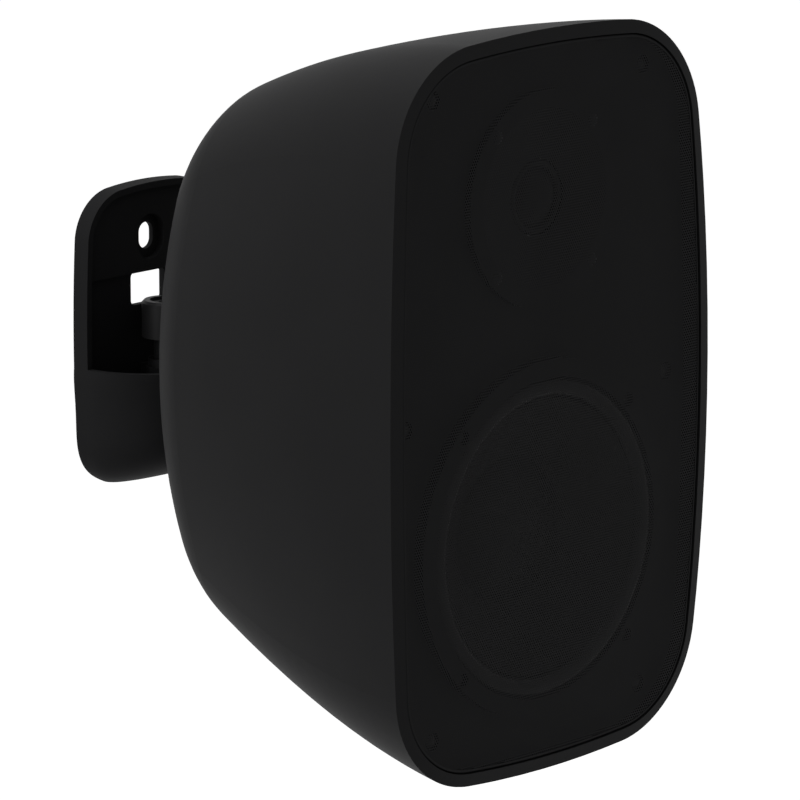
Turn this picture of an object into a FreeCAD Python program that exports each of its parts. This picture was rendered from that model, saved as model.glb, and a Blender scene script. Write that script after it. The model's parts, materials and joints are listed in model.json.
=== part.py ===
import FreeCAD, Part
import math
import os
from FreeCAD import Vector

# Two-way wall loudspeaker on a pan and tilt wall bracket, in millimetres.
# The origin is the centre of the wall plate's back, +Y goes into the wall and +Z is up.

# Cabinet shell
CABINET_WIDTH = 208.0
CABINET_HEIGHT = 331.3
CABINET_DEPTH = 187.9
CABINET_RISE = 2.4
CABINET_WALL = 5.0
BACK_WALL = 6.0
FRONT_CROWN = 3000.0
SIDE_BOW = 1420.0
REAR_SIDE_BOW = 234.0
END_BOW = 650.0
FRONT_CORNER = 51.3
CORNER_GROWTH = 5.7
SIDE_DRAFT = 2.73
END_DRAFT = 4.69
SIDE_BARREL = 754.5
END_BARREL = 486.6
REAR_ROUND_DEPTH = 31.2
SIDE_REAR_INSET = 15.2
END_REAR_INSET = 21.9
RIM_WIDTH = 6.5
RIM_FALL = 1.3

# Front baffle, its seal and its screws
BAFFLE_RECESS = 12.0
BAFFLE_THICKNESS = 5.0
BAFFLE_CLEARANCE = 0.3
GASKET_THICKNESS = 2.0
LEDGE_WIDTH = 9.0
LEDGE_THICKNESS = 4.0
SIDE_SCREW_INSET = 19.1
CORNER_SCREW_INSET_X = 36.1
CORNER_SCREW_INSET_Z = 25.0
BAFFLE_SCREW_RADIUS = 2.0
BAFFLE_SCREW_HEAD = 4.0
BAFFLE_SCREW_HEAD_HEIGHT = 2.6
BAFFLE_SCREW_LENGTH = 20.0
BOSS_RADIUS = 6.0
BOSS_LENGTH = 24.0
HOLE_CLEARANCE = 0.2

# Grille
GRILLE_GAP = 0.5
GRILLE_RECESS = 0.6
GRILLE_SHEET = 1.0
GRILLE_COLUMNS = 7
GRILLE_ROWS = 12
GRILLE_PITCH = 26.0
GRILLE_OPENING = 22.0
GRILLE_BORDER = 5.0

# Woofer
WOOFER_INSET = 104.65
WOOFER_FRAME_RADIUS = 79.8
WOOFER_FLANGE = 2.0
WOOFER_TRIM_HEIGHT = 3.4
WOOFER_CUTOUT = 67.0
BASKET_SHEET = 1.6
BASKET_RIM_DEPTH = 12.0
BASKET_DEPTH = 42.0
BASKET_WINDOWS = 6
BASKET_WINDOW_WIDTH = 30.0
BASKET_BAND = 5.0
ROLL_OUTER = 71.8
ROLL_INNER = 62.4
ROLL_RISE = 3.4
ROLL_SHEET = 0.8
CONE_EDGE_GAP = 0.4
CONE_DEPTH = 27.0
CONE_BELLY = 4.0
CONE_SHEET = 0.8
CAP_RADIUS = 32.5
CAP_RISE = 8.0
COIL_RADIUS = 12.9
COIL_WALL = 0.6
COIL_LENGTH = 27.0
GAP_INSIDE = 0.5
GAP_OUTSIDE = 0.8
SPIDER_SHEET = 0.8
SPIDER_WAVES = 4
SPIDER_WAVE_HEIGHT = 2.0
SPIDER_LIFT = 9.0
TOP_PLATE_RADIUS = 45.0
TOP_PLATE_THICKNESS = 6.0
MAGNET_RADIUS = 50.0
MAGNET_HOLE = 24.0
MAGNET_THICKNESS = 16.0
YOKE_THICKNESS = 5.0
WOOFER_SCREWS = 4
WOOFER_SCREW_CIRCLE = 76.0
WOOFER_SCREW_HEAD = 3.0
WOOFER_SCREW_HEAD_HEIGHT = 1.8
WOOFER_SCREW_RADIUS = 2.0
WOOFER_SCREW_LENGTH = 14.0

# Tweeter
TWEETER_INSET = 75.65
TWEETER_RADIUS = 48.0
TWEETER_FLANGE = 3.5
TWEETER_CUTOUT = 36.5
TWEETER_BODY_CLEARANCE = 0.5
HORN_RADIUS = 40.0
THROAT_RADIUS = 17.0
THROAT_DEPTH = 5.0
TWEETER_PLATE_DEPTH = 4.0
DOME_RADIUS = 13.0
DOME_RISE = 4.5
DOME_SHEET = 0.6
TWEETER_MOTOR_RADIUS = 34.0
TWEETER_MOTOR_LENGTH = 24.0
TWEETER_MOTOR_CHAMFER = 5.0
TWEETER_SCREWS = 4
TWEETER_SCREW_CIRCLE = 43.5
TWEETER_SCREW_HEAD = 3.0
TWEETER_SCREW_HEAD_HEIGHT = 1.6
TWEETER_SCREW_RADIUS = 1.8
TWEETER_SCREW_LENGTH = 12.0

# Wall plate moulding
PLATE_WIDTH = 89.0
PLATE_HEIGHT = 141.0
PLATE_DEPTH = 9.0
PLATE_SIDE_BOW = 800.0
PLATE_END_BOW = 190.0
PLATE_CORNER = 24.0
PLATE_WALL = 3.0
PLATE_FLOOR = 3.5
SLOT_Z = 44.4
SLOT_WIDTH = 9.0
SLOT_LENGTH = 12.5
SLOT_SINK_MARGIN = 4.2
SLOT_SINK_DEPTH = 1.0
CABLE_HOLE_WIDTH = 21.8
CABLE_HOLE_HEIGHT = 15.5
CABLE_HOLE_Z = 20.5
CABLE_HOLE_CORNER = 2.5
NOSE_REACH = 50.0
NOSE_LIP_Z = -11.6
NOSE_TURN_Z = -40.0
NOSE_ROUNDNESS = 0.8
NOSE_LEAST_SIDE = 0.5
NOSE_END_MARGIN = 2.1
NOSE_HOLLOW_MARGIN = 12.2
NOSE_ACCESS_RADIUS = 8.0

# Pan pivot
PAN_STANDOFF = 15.0
PIVOT_BOLT_RADIUS = 4.0
RUNNING_FIT = 0.05
AXIAL_PLAY = 0.1
POST_RADIUS = 9.0
POST_HEIGHT = 20.0
POST_WEB = 10.0
INSERT_RADIUS = 6.0
INSERT_LENGTH = 14.0
BUSH_FLANGE_RADIUS = 8.0
BUSH_FLANGE_HEIGHT = 3.5
BUSH_NECK_RADIUS = 5.5
BUSH_NECK_HEIGHT = 10.0
BUSH_BASE_Z = -14.9
BARREL_RADIUS = 11.0
BARREL_HEIGHT = 17.2
BARREL_CHAMFER = 1.2
BOLT_HEAD_RADIUS = 6.5
BOLT_HEAD_HEIGHT = 6.5
BOLT_RECESS_RADIUS = 7.2
BOLT_RECESS_DEPTH = 9.0
BOLT_SOCKET = 6.0
BOLT_SOCKET_DEPTH = 4.0
PAN_WASHER = 1.0

# Tilt pivot
PAN_TO_TILT = 39.0
TILT_TO_BACK = 16.0
TILT_BARREL_RADIUS = 9.0
TILT_BARREL_LENGTH = 24.0
ARM_WIDTH = 14.0
ARM_HEIGHT = 13.0
ARM_EDGE = 2.5
TILT_WASHER = 1.0
EAR_RADIUS = 10.0
EAR_THICKNESS = 8.0
CLEVIS_WIDTH = 60.0
CLEVIS_HEIGHT = 54.0
CLEVIS_PLATE = 5.0
CLEVIS_CORNER = 6.0
CLEVIS_EDGE = 1.5
CLEVIS_SCREW_X = 24.0
CLEVIS_SCREW_Z = 20.0
MOUNT_SCREW_RADIUS = 3.0
MOUNT_SCREW_HEAD = 5.0
MOUNT_SCREW_HEAD_HEIGHT = 3.5
BACKING_THICKNESS = 4.0
TILT_HEX = 13.0
TILT_HEX_HEIGHT = 5.5
TILT_BOLT_END = 1.0

# Terminal cup on the cabinet's back
CUP_RISE = 56.0
CUP_WIDTH = 60.0
CUP_HEIGHT = 30.0
CUP_DEPTH = 20.0
CUP_WALL = 2.5
CUP_FLANGE = 6.0
CUP_FLANGE_THICKNESS = 2.5
CUP_CORNER = 5.0
CUP_SCREW_RADIUS = 1.6
CUP_SCREW_HEAD = 2.8
CUP_SCREW_HEAD_HEIGHT = 1.6
CUP_SCREW_LENGTH = 11.0
TERMINAL_WAYS = 4
TERMINAL_PITCH = 8.0
TERMINAL_HEIGHT = 16.0
TERMINAL_DEPTH = 12.0
TERMINAL_OFFSET = 10.0
TERMINAL_SCREW_RADIUS = 2.0
TERMINAL_SCREW_LENGTH = 6.6
TERMINAL_SCREW_SLOT = 1.0
TERMINAL_SCREW_RISE = 3.2
TERMINAL_WELL_FLOOR = 4.0
TERMINAL_ENTRY = 2.2
KNOB_OFFSET = 17.5
KNOB_RADIUS = 8.5
KNOB_HEIGHT = 11.0
KNOB_SKIRT = 5.5
KNOB_GRIP = 5.0
KNOB_LIFT = 0.4
SWITCH_RADIUS = 11.0
SWITCH_LENGTH = 12.0
SWITCH_SHAFT = 3.0
SWITCH_SHAFT_LENGTH = 8.0

# Crossover and line transformer
BOARD_WIDTH = 112.0
BOARD_HEIGHT = 56.0
BOARD_THICKNESS = 1.6
BOARD_STANDOFF = 16.0
STANDOFF_RADIUS = 3.5
BOARD_SCREW_RADIUS = 1.5
BOARD_SCREW_HEAD = 2.8
BOARD_SCREW_HEAD_HEIGHT = 1.5
BOARD_SCREW_LENGTH = 9.6
COIL_INDUCTOR_RADIUS = 14.0
COIL_INDUCTOR_HOLE = 5.0
COIL_INDUCTOR_HEIGHT = 16.0
COIL_INDUCTOR_INSET = 2.0
CAPACITOR_RADIUS = 7.0
CAPACITOR_LENGTH = 24.0
CAPACITOR_PITCH = 17.0
RESISTOR_LENGTH = 18.0
RESISTOR_SIDE = 8.0
TRANSFORMER_DROP = 54.0
CORE_WIDTH = 54.0
CORE_HEIGHT = 45.0
CORE_DEPTH = 24.0
CORE_LIMB = 9.0
WINDING_MARGIN = 7.0
WINDING_GAP = 0.3
FOOT_WIDTH = 12.0
FOOT_THICKNESS = 2.0
CORE_SCREW_RADIUS = 2.0
CORE_SCREW_HEAD = 4.0
CORE_SCREW_HEAD_HEIGHT = 2.0
CORE_SCREW_BITE = 2.5

# Wadding that lines the cabinet
WADDING_THICKNESS = 10.0
WADDING_START = 60.0
WADDING_END = 140.0
SOFT_CLEARANCE = 0.3

# How far a cut runs past the face that it leaves
CUT = 1.0

# Places that follow from the sizes above
TILT_Y = -(PAN_STANDOFF + PAN_TO_TILT)
BACK_Y = TILT_Y - TILT_TO_BACK
FRONT_Y = BACK_Y - CABINET_DEPTH
BARREL_BASE_Z = BUSH_BASE_Z + BUSH_FLANGE_HEIGHT + BUSH_NECK_HEIGHT + AXIAL_PLAY
ARM_Z = BARREL_BASE_Z + BARREL_HEIGHT / 2
BAFFLE_BACK = BAFFLE_RECESS + BAFFLE_THICKNESS
LEDGE_DEPTH = BAFFLE_BACK + GASKET_THICKNESS
CAVITY_DEPTH = LEDGE_DEPTH + LEDGE_THICKNESS
CAVITY_BACK = CABINET_DEPTH - BACK_WALL
WOOFER_FRONT = BAFFLE_RECESS - WOOFER_FLANGE
WOOFER_DROP = CABINET_HEIGHT / 2 - WOOFER_INSET
TWEETER_RISE = CABINET_HEIGHT / 2 - TWEETER_INSET
CUP_FLOOR = CABINET_DEPTH - CUP_DEPTH
BOARD_DEPTH = CUP_FLOOR - CUP_WALL - BOARD_STANDOFF

BACKWARD = Vector(0, 1, 0)
UPWARD = Vector(0, 0, 1)
RIGHTWARD = Vector(1, 0, 0)


def place(x, depth, z):
    """Point in the cabinet: depth behind the crown of the front, z from the cabinet's centre."""
    return Vector(x, FRONT_Y + depth, CABINET_RISE + z)


def path(start, *steps):
    """Wire of straight steps (a point) and arcs (a pair: point passed through, end point)."""
    edges = []
    here = start
    for step in steps:
        if isinstance(step, Vector):
            edges.append(Part.LineSegment(here, step).toShape())
            here = step
        else:
            through, end = step
            edges.append(Part.Arc(here, through, end).toShape())
            here = end
    return Part.Wire(edges)


def prism(wire, depth):
    """Solid drawn backwards from a wire that faces the front."""
    return Part.Face(wire).extrude(BACKWARD * depth)


def cap_middle(radius, rise):
    """Radius and sag halfway down a round cap, from its top."""
    ball = (radius ** 2 + rise ** 2) / (2 * rise)
    half = math.asin(radius / ball) / 2
    return ball * math.sin(half), ball * (1 - math.cos(half))


def turned(z, start, *steps):
    """Solid turned about the front-to-back axis at height z, from (radius, depth) points."""
    def spot(pair):
        return place(pair[0], pair[1], z)
    moves = [spot(step) if isinstance(step[0], (int, float)) else tuple(spot(p) for p in step)
             for step in steps]
    last = moves[-1] if isinstance(moves[-1], Vector) else moves[-1][1]
    if not last.isEqual(spot(start), 1e-6):
        moves.append(spot(start))
    return Part.Face(path(spot(start), *moves)).revolve(place(0, 0, z), BACKWARD, 360)


def rod(radius, depth, length, x=0.0, z=0.0):
    """Cylinder that runs front to back inside the cabinet."""
    return Part.makeCylinder(radius, length, place(x, depth, z), BACKWARD)


def tube(outer, inner, depth, length, x=0.0, z=0.0):
    """Ring that runs front to back inside the cabinet."""
    return rod(outer, depth, length, x, z).cut(rod(inner, depth, length, x, z))


def block(width, height, length, depth, x=0.0, z=0.0):
    """Box inside the cabinet, centred on x and z, from one depth backwards."""
    return Part.makeBox(width, length, height, place(x - width / 2, depth, z - height / 2))


def upright(radius, base, height):
    """Cylinder on the pan axis."""
    return Part.makeCylinder(radius, height, Vector(0, -PAN_STANDOFF, base), UPWARD)


def upright_tube(outer, inner, base, height):
    """Ring on the pan axis."""
    return upright(outer, base, height).cut(upright(inner, base, height))


def tilt_axis(x):
    """Point on the tilt axis."""
    return Vector(x, TILT_Y, ARM_Z)


def level(radius, start, length):
    """Cylinder on the tilt axis."""
    return Part.makeCylinder(radius, length, tilt_axis(start), RIGHTWARD)


def level_tube(outer, inner, start, length):
    """Ring on the tilt axis."""
    return level(outer, start, length).cut(level(inner, start, length))


def ring_spots(count, radius, turn=45.0):
    """Evenly spaced x, z places on a circle."""
    angles = [math.radians(turn + 360.0 * i / count) for i in range(count)]
    return [(radius * math.cos(a), radius * math.sin(a)) for a in angles]


def edges_along(shape, axis):
    """Straight edges of a shape that run along an axis."""
    return [edge for edge in shape.Edges if abs(edge.tangentAt(edge.FirstParameter).dot(axis)) > 0.99]


def edges_at(shape, axis, level):
    """Edges of a shape that lie wholly at one level along an axis."""
    return [edge for edge in shape.Edges
            if all(abs(vertex.Point.dot(axis) - level) < 1e-6 for vertex in edge.Vertexes)]


def drilled(shape, radius, start, thickness, spots):
    """Cut round holes through a wall, past both of its faces."""
    for x, z in spots:
        shape = shape.cut(rod(radius, start - CUT, thickness + 2 * CUT, x, z))
    return shape


def joined(shapes):
    """Separate solids kept together as one group."""
    return Part.makeCompound(shapes)


def hexagon(across_flats, length, base, axis):
    """Hexagonal prism along an axis."""
    radius = across_flats / math.sqrt(3)
    side = RIGHTWARD if abs(axis.x) < 0.5 else UPWARD
    other = axis.cross(side)
    turns = [math.radians(60 * i) for i in range(7)]
    corners = [base + side * (radius * math.cos(t)) + other * (radius * math.sin(t)) for t in turns]
    return Part.Face(Part.makePolygon(corners)).extrude(axis * length)


def corner_circle(half_width, half_height, side_bow, end_bow, corner):
    """Corner circle that touches a bowed side and a bowed end from inside, with its touch points."""
    side_x = half_width - side_bow
    end_z = half_height - end_bow
    apart = math.hypot(side_x, end_z)
    to_side = side_bow - corner
    to_end = end_bow - corner
    along = (to_side ** 2 - to_end ** 2 + apart ** 2) / (2 * apart)
    across = math.sqrt(to_side ** 2 - along ** 2)
    ux, uz = -side_x / apart, end_z / apart
    cx = side_x + ux * along - uz * across
    cz = uz * along + ux * across
    side_dir = ((cx - side_x) / to_side, cz / to_side)
    end_dir = (cx / to_end, (cz - end_z) / to_end)
    middle = math.hypot(side_dir[0] + end_dir[0], side_dir[1] + end_dir[1])
    side_touch = (cx + corner * side_dir[0], cz + corner * side_dir[1])
    end_touch = (cx + corner * end_dir[0], cz + corner * end_dir[1])
    bulge = (cx + corner * (side_dir[0] + end_dir[0]) / middle,
             cz + corner * (side_dir[1] + end_dir[1]) / middle)
    return (cx, cz), side_touch, bulge, end_touch


def bowed_wire(half_width, half_height, side_bow, end_bow, corner, y, z):
    """Rounded oblong of eight arcs that faces the front, centred on x = 0 and the height z."""
    _, side, bulge, end = corner_circle(half_width, half_height, side_bow, end_bow, corner)

    def spot(pair, sx, sz):
        return Vector(sx * pair[0], y, z + sz * pair[1])

    right, top = (half_width, 0.0), (0.0, half_height)
    return path(spot(side, 1, -1),
                (spot(right, 1, 1), spot(side, 1, 1)), (spot(bulge, 1, 1), spot(end, 1, 1)),
                (spot(top, 1, 1), spot(end, -1, 1)), (spot(bulge, -1, 1), spot(side, -1, 1)),
                (spot(right, -1, 1), spot(side, -1, -1)), (spot(bulge, -1, -1), spot(end, -1, -1)),
                (spot(top, 1, -1), spot(end, 1, -1)), (spot(bulge, 1, -1), spot(side, 1, -1)))


def rear_round(depth, inset):
    """How far the rounded rear end draws in at a depth: an arc that reaches its inset at the back."""
    into = max(0.0, depth - (CABINET_DEPTH - REAR_ROUND_DEPTH))
    radius = (REAR_ROUND_DEPTH ** 2 + inset ** 2) / (2 * inset)
    return radius - math.sqrt(radius ** 2 - into ** 2)


def side_bow(depth):
    """Radius of the bowed sides at a depth: their curve grows evenly from front to back."""
    share = depth / CABINET_DEPTH
    return 1 / ((1 - share) / SIDE_BOW + share / REAR_SIDE_BOW)


def cabinet_wire(depth, inset=0.0):
    """Outline of the cabinet at a depth, drawn in by a wall thickness."""
    side_round = rear_round(depth, SIDE_REAR_INSET)
    side_in = depth * math.tan(math.radians(SIDE_DRAFT)) + depth ** 2 / (2 * SIDE_BARREL) + side_round
    end_in = (depth * math.tan(math.radians(END_DRAFT)) + depth ** 2 / (2 * END_BARREL)
              + rear_round(depth, END_REAR_INSET))
    corner = FRONT_CORNER + CORNER_GROWTH * depth / CABINET_DEPTH - side_round
    return bowed_wire(CABINET_WIDTH / 2 - side_in - inset, CABINET_HEIGHT / 2 - end_in - inset,
                      side_bow(depth) - inset, END_BOW - inset, corner - inset, FRONT_Y + depth, CABINET_RISE)


def front_wire(inset, depth):
    """Outline of the cabinet's front, drawn in and set at a depth."""
    return bowed_wire(CABINET_WIDTH / 2 - inset, CABINET_HEIGHT / 2 - inset,
                      SIDE_BOW - inset, END_BOW - inset, FRONT_CORNER - inset, FRONT_Y + depth, CABINET_RISE)


def cabinet_stretch(start, end, inset):
    """One evenly curved stretch of the cabinet's form, through five outlines."""
    depths = [start + (end - start) * i / 4 for i in range(5)]
    return Part.makeLoft([cabinet_wire(depth, inset) for depth in depths], True, False)


def cabinet_form(start, end, inset=0.0):
    """Solid of the cabinet's form between two depths, drawn in by a wall thickness."""
    turn = CABINET_DEPTH - REAR_ROUND_DEPTH
    if end <= turn:
        return cabinet_stretch(start, end, inset)
    return cabinet_stretch(start, turn, inset).fuse(cabinet_stretch(turn, end, inset))


def crown(depth):
    """Ball whose front is the gentle dome of the front, at a depth."""
    return Part.makeSphere(FRONT_CROWN, place(0, depth + FRONT_CROWN, 0))


def baffle_screw_spots():
    """Places of the six screws that hold the baffle, from the cabinet's centre."""
    side = CABINET_WIDTH / 2 - SIDE_SCREW_INSET
    corner_x = CABINET_WIDTH / 2 - CORNER_SCREW_INSET_X
    corner_z = CABINET_HEIGHT / 2 - CORNER_SCREW_INSET_Z
    return [(side, 0.0), (-side, 0.0)] + [(sx * corner_x, sz * corner_z) for sx in (1, -1) for sz in (1, -1)]


def clevis_screw_spots():
    """Places of the four screws that hold the clevis, from the cabinet's centre."""
    rise = ARM_Z - CABINET_RISE
    return [(sx * CLEVIS_SCREW_X, rise + sz * CLEVIS_SCREW_Z) for sx in (1, -1) for sz in (1, -1)]


def cup_screw_spots():
    """Places of the four screws that hold the terminal cup, from the cabinet's centre."""
    across = CUP_WIDTH / 2 + CUP_FLANGE / 2
    return [(sx * across, CUP_RISE + sz * CUP_HEIGHT / 2) for sx in (1, -1) for sz in (1, -1)]


def core_screw_spots():
    """Places of the two screws that hold the transformer's feet, from the cabinet's centre."""
    across = CORE_WIDTH / 2 + FOOT_WIDTH / 2
    return [(sx * across, -TRANSFORMER_DROP) for sx in (1, -1)]


def cabinet_blank():
    """Outer form with its domed front and the bevel that falls away to the outer edge."""
    form = cabinet_form(0.0, CABINET_DEPTH).common(crown(0.0))
    front = min(form.Faces, key=lambda face: face.CenterOfMass.y)
    return form.makeChamfer(RIM_FALL, RIM_WIDTH, front.OuterWire.Edges)


def cabinet():
    """Hollow moulded shell, open at the front, with a ledge and screw bosses for the baffle."""
    shell = cabinet_blank()
    shell = shell.cut(prism(front_wire(RIM_WIDTH, -BAFFLE_RECESS), BAFFLE_RECESS + LEDGE_DEPTH))
    opening = front_wire(RIM_WIDTH + LEDGE_WIDTH, LEDGE_DEPTH - CUT)
    shell = shell.cut(prism(opening, LEDGE_THICKNESS + 2 * CUT))
    shell = shell.cut(cabinet_form(CAVITY_DEPTH, CAVITY_BACK, CABINET_WALL))
    for x, z in baffle_screw_spots():
        shell = shell.fuse(rod(BOSS_RADIUS, LEDGE_DEPTH, BOSS_LENGTH, x, z))
    for x, z in baffle_screw_spots():
        shell = shell.cut(rod(BAFFLE_SCREW_RADIUS, LEDGE_DEPTH - CUT, BOSS_LENGTH, x, z))
    mount_hole = MOUNT_SCREW_RADIUS + HOLE_CLEARANCE
    shell = drilled(shell, mount_hole, CAVITY_BACK, BACK_WALL, clevis_screw_spots())
    shell = drilled(shell, CUP_SCREW_RADIUS, CAVITY_BACK, BACK_WALL, cup_screw_spots())
    for x, z in core_screw_spots():
        bite = CORE_SCREW_BITE + HOLE_CLEARANCE
        shell = shell.cut(rod(CORE_SCREW_RADIUS, CAVITY_BACK - CUT, bite + CUT, x, z))
    cup_hole = block(CUP_WIDTH + HOLE_CLEARANCE, CUP_HEIGHT + HOLE_CLEARANCE, BACK_WALL + 2 * CUT,
                     CAVITY_BACK - CUT, 0, CUP_RISE)
    return shell.cut(cup_hole).removeSplitter()


def front_baffle():
    """Board that fills the cabinet's front and carries both drivers."""
    board = prism(front_wire(RIM_WIDTH + BAFFLE_CLEARANCE, BAFFLE_RECESS), BAFFLE_THICKNESS)
    through = BAFFLE_THICKNESS + 2 * CUT
    board = board.cut(rod(WOOFER_CUTOUT, BAFFLE_RECESS - CUT, through, 0, -WOOFER_DROP))
    board = board.cut(rod(TWEETER_CUTOUT, BAFFLE_RECESS - CUT, through, 0, TWEETER_RISE))
    for x, z in baffle_screw_spots():
        board = board.cut(rod(BAFFLE_SCREW_RADIUS + HOLE_CLEARANCE, BAFFLE_RECESS - CUT, through, x, z))
        sink_depth = BAFFLE_SCREW_HEAD_HEIGHT + CUT
        board = board.cut(rod(BAFFLE_SCREW_HEAD + HOLE_CLEARANCE, BAFFLE_RECESS - CUT, sink_depth, x, z))
    for x, z in ring_spots(WOOFER_SCREWS, WOOFER_SCREW_CIRCLE):
        board = board.cut(rod(WOOFER_SCREW_RADIUS, BAFFLE_RECESS - CUT, through, x, z - WOOFER_DROP))
    for x, z in ring_spots(TWEETER_SCREWS, TWEETER_SCREW_CIRCLE):
        board = board.cut(rod(TWEETER_SCREW_RADIUS, BAFFLE_RECESS - CUT, through, x, z + TWEETER_RISE))
    return board


def baffle_gasket():
    """Foam seal between the baffle and the cabinet's ledge."""
    outer = front_wire(RIM_WIDTH + BAFFLE_CLEARANCE, BAFFLE_BACK)
    inner = front_wire(RIM_WIDTH + LEDGE_WIDTH, BAFFLE_BACK - CUT)
    seal = prism(outer, GASKET_THICKNESS).cut(prism(inner, GASKET_THICKNESS + 2 * CUT))
    for x, z in baffle_screw_spots():
        seal = seal.cut(rod(BOSS_RADIUS, BAFFLE_BACK - CUT, GASKET_THICKNESS + 2 * CUT, x, z))
    return seal


def pan_head_screw(x, z, depth, radius, head, head_height, length):
    """Screw that points backwards, with its head's back at a depth."""
    top = depth - head_height
    middle, sag = cap_middle(head, head_height)
    dome = turned(z, (0, depth), (head, depth), ((middle, top + sag), (0, top)))
    dome.translate(Vector(x, 0, 0))
    return dome.fuse(rod(radius, depth, length, x, z))


def baffle_screws():
    """Six screws from the baffle into the cabinet's bosses."""
    seat = BAFFLE_RECESS + BAFFLE_SCREW_HEAD_HEIGHT
    return joined([pan_head_screw(x, z, seat, BAFFLE_SCREW_RADIUS, BAFFLE_SCREW_HEAD,
                                  BAFFLE_SCREW_HEAD_HEIGHT, BAFFLE_SCREW_LENGTH)
                   for x, z in baffle_screw_spots()])


def grille_openings():
    """Even grid of square openings inside the grille's border."""
    columns = [GRILLE_PITCH * (i - (GRILLE_COLUMNS - 1) / 2) for i in range(GRILLE_COLUMNS)]
    rows = [GRILLE_PITCH * (i - (GRILLE_ROWS - 1) / 2) for i in range(GRILLE_ROWS)]
    grid = joined([block(GRILLE_OPENING, GRILLE_OPENING, BAFFLE_RECESS + CUT, -CUT, x, z)
                   for x in columns for z in rows])
    border = RIM_WIDTH + GRILLE_GAP + GRILLE_BORDER
    return grid.common(prism(front_wire(border, -BAFFLE_RECESS), 2 * BAFFLE_RECESS))


def grille():
    """Domed sheet with a grid of openings and a folded edge that stands on the baffle inside the rim."""
    outline = RIM_WIDTH + GRILLE_GAP
    solid = prism(front_wire(outline, -BAFFLE_RECESS), 2 * BAFFLE_RECESS).common(crown(GRILLE_RECESS))
    inner = prism(front_wire(outline + GRILLE_SHEET, -BAFFLE_RECESS), 3 * BAFFLE_RECESS)
    sheet = solid.cut(inner.common(crown(GRILLE_RECESS + GRILLE_SHEET)))
    return sheet.cut(grille_openings())


def woofer_basket():
    """Pressed frame: flange, straight rim, cone with windows and a floor for the magnet."""
    outer = WOOFER_CUTOUT - HOLE_CLEARANCE
    rim_end = WOOFER_FRONT + BASKET_RIM_DEPTH
    floor = WOOFER_FRONT + BASKET_DEPTH
    inner = outer - BASKET_SHEET
    seat = TOP_PLATE_RADIUS
    bore = COIL_RADIUS + COIL_WALL + 2 * GAP_OUTSIDE + BASKET_SHEET
    frame = turned(-WOOFER_DROP, (WOOFER_FRAME_RADIUS, WOOFER_FRONT), (WOOFER_FRAME_RADIUS, BAFFLE_RECESS),
                   (outer, BAFFLE_RECESS), (outer, rim_end), (seat, floor), (bore, floor),
                   (bore, floor - BASKET_SHEET), (seat - BASKET_SHEET, floor - BASKET_SHEET),
                   (inner, rim_end - BASKET_SHEET / 2), (inner, WOOFER_FRONT))
    window_start = rim_end + BASKET_BAND
    window_length = floor - BASKET_BAND - window_start
    cutter = block(outer, BASKET_WINDOW_WIDTH, window_length, window_start, bore + outer / 2, 0)
    for i in range(BASKET_WINDOWS):
        window = cutter.copy()
        window.rotate(place(0, 0, 0), BACKWARD, 360.0 * i / BASKET_WINDOWS)
        window.translate(Vector(0, 0, -WOOFER_DROP))
        frame = frame.cut(window)
    spots = [(x, z - WOOFER_DROP) for x, z in ring_spots(WOOFER_SCREWS, WOOFER_SCREW_CIRCLE)]
    return drilled(frame, WOOFER_SCREW_RADIUS + HOLE_CLEARANCE, WOOFER_FRONT, WOOFER_FLANGE, spots)


def woofer_trim():
    """Rubber ring on the frame's flange, round the surround."""
    depth = WOOFER_FRONT - WOOFER_TRIM_HEIGHT
    ring = tube(WOOFER_FRAME_RADIUS, ROLL_OUTER, depth, WOOFER_TRIM_HEIGHT, 0, -WOOFER_DROP)
    for x, z in ring_spots(WOOFER_SCREWS, WOOFER_SCREW_CIRCLE):
        ring = ring.cut(rod(WOOFER_SCREW_HEAD + HOLE_CLEARANCE, depth - CUT, WOOFER_TRIM_HEIGHT + 2 * CUT,
                            x, z - WOOFER_DROP))
    return ring


def woofer_surround():
    """Half-roll of rubber between the frame and the cone."""
    base = WOOFER_FRONT
    middle = (ROLL_OUTER + ROLL_INNER) / 2
    roll = (ROLL_OUTER - ROLL_INNER) / 2
    inside = roll - ROLL_SHEET
    lip = ROLL_OUTER - HOLE_CLEARANCE
    return turned(-WOOFER_DROP, (middle + inside, base), (lip, base),
                  ((middle, base - ROLL_RISE), (middle - roll, base)), (middle - inside, base),
                  ((middle, base - ROLL_RISE + ROLL_SHEET), (middle + inside, base)))


def cone_front(radius):
    """Depth of the cone's front face at a radius: a straight flare with a belly."""
    neck = COIL_RADIUS + COIL_WALL
    edge = ROLL_INNER - CONE_EDGE_GAP
    share = (edge - radius) / (edge - neck)
    return WOOFER_FRONT + CONE_DEPTH * share + 4 * CONE_BELLY * share * (1 - share)


def woofer_cone():
    """Paper cone with a curved flare."""
    neck = COIL_RADIUS + COIL_WALL
    edge = ROLL_INNER - CONE_EDGE_GAP
    middle = (neck + edge) / 2
    return turned(-WOOFER_DROP, (edge, cone_front(edge)),
                  ((middle, cone_front(middle)), (neck, cone_front(neck))),
                  (neck, cone_front(neck) + CONE_SHEET),
                  ((middle, cone_front(middle) + CONE_SHEET), (edge, cone_front(edge) + CONE_SHEET)))


def dust_cap():
    """Domed cap on the middle of the cone."""
    seat = cone_front(CAP_RADIUS) - SOFT_CLEARANCE
    top = seat - CAP_RISE
    middle, sag = cap_middle(CAP_RADIUS, CAP_RISE)
    inside, dip = cap_middle(CAP_RADIUS - CONE_SHEET, CAP_RISE - CONE_SHEET)
    return turned(-WOOFER_DROP, (0, top), ((middle, top + sag), (CAP_RADIUS, seat)),
                  (CAP_RADIUS - CONE_SHEET, seat),
                  ((inside, top + CONE_SHEET + dip), (0, top + CONE_SHEET)))


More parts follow.
